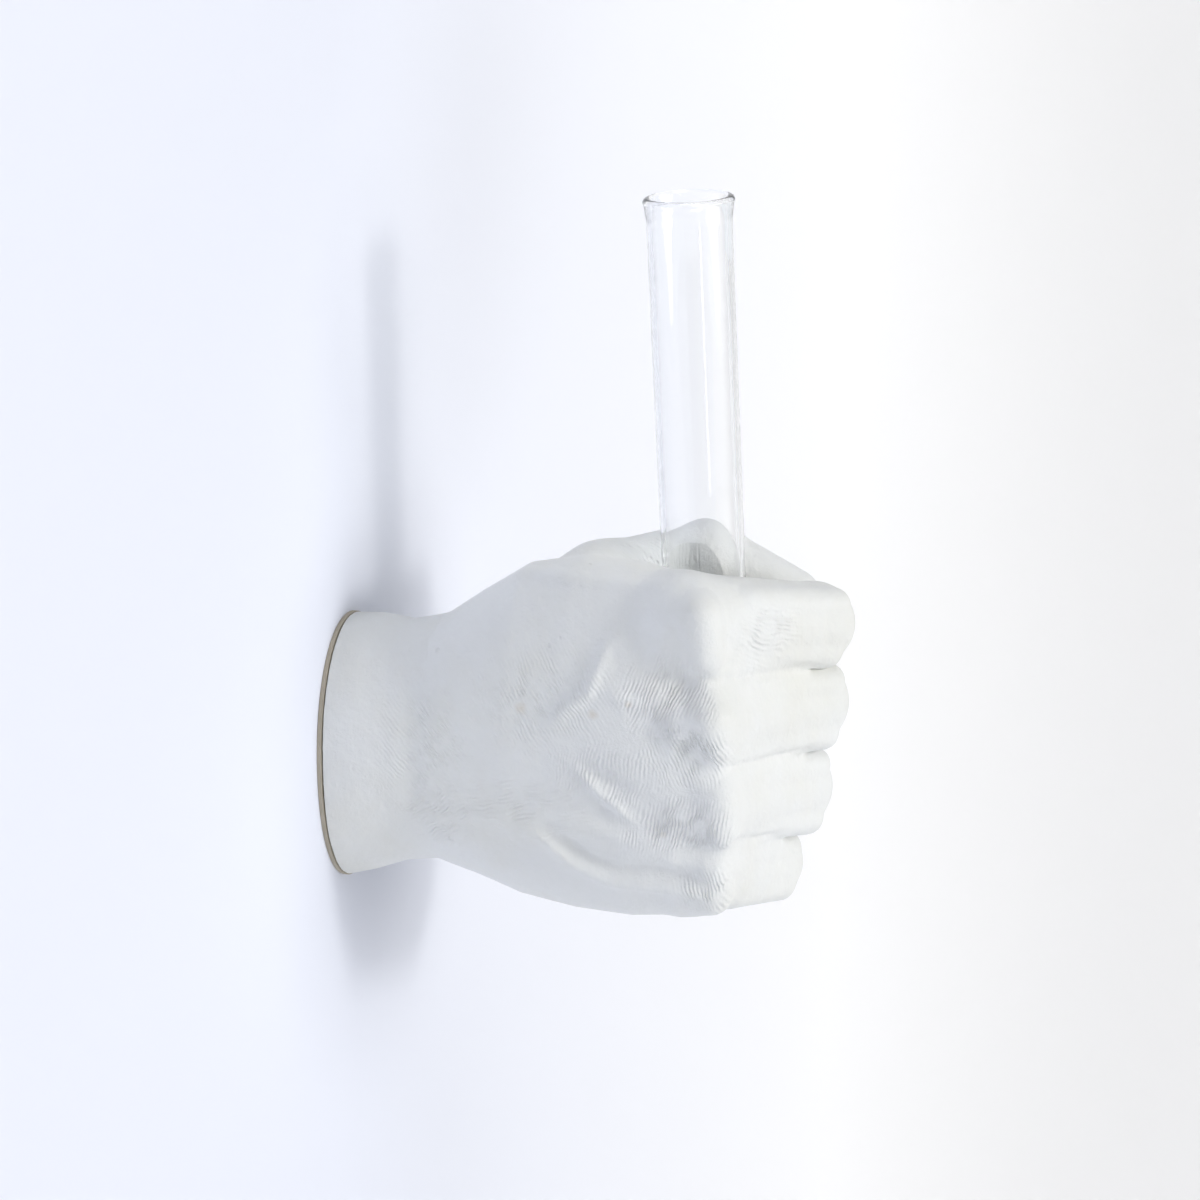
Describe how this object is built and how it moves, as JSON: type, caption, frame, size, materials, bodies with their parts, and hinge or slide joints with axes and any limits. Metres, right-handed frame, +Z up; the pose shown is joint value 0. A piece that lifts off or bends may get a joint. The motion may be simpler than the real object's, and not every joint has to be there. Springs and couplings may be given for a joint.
{
  "type": "wall mounted flower tube held by a cast fist",
  "caption": "White cast right fist on a thin wall plate, gripping an upright glass test tube that lifts out and holds a flower stem.",
  "frame": {"origin": "centre of the back plate's rear face, which lies on the wall", "axes": "+Y points into the wall, +Z up along the hung part, +X to the palm side, where the fingers close; the fist stands out towards -Y and the back of the hand faces -X"},
  "size_m": [0.0735, 0.1205, 0.176],
  "materials": {
    "cast_plaster": "matt white paint on cast plaster, with fine skin wrinkles, small pits and faint tan stains",
    "plate_sheet": "thin sheet in matt beige, bare at its edge",
    "screw_steel": "zinc plated",
    "insert_brass": "turned, plain",
    "tube_glass": "clear polished laboratory glass with a fire-polished beaded lip"
  },
  "bodies": {
    "wall_fist": {"hand_casting": "cast_plaster", "back_plate": "plate_sheet", "plate_screws": "screw_steel", "brass_inserts": "insert_brass"},
    "tube": {"glass_tube": "tube_glass"}
  },
  "joints": [
    {"name": "tube_lift", "type": "slide", "parent": "wall_fist", "child": "tube", "axis": [0, 0.0523, 0.9986], "range_m": [0, 0.1]}
  ]
}
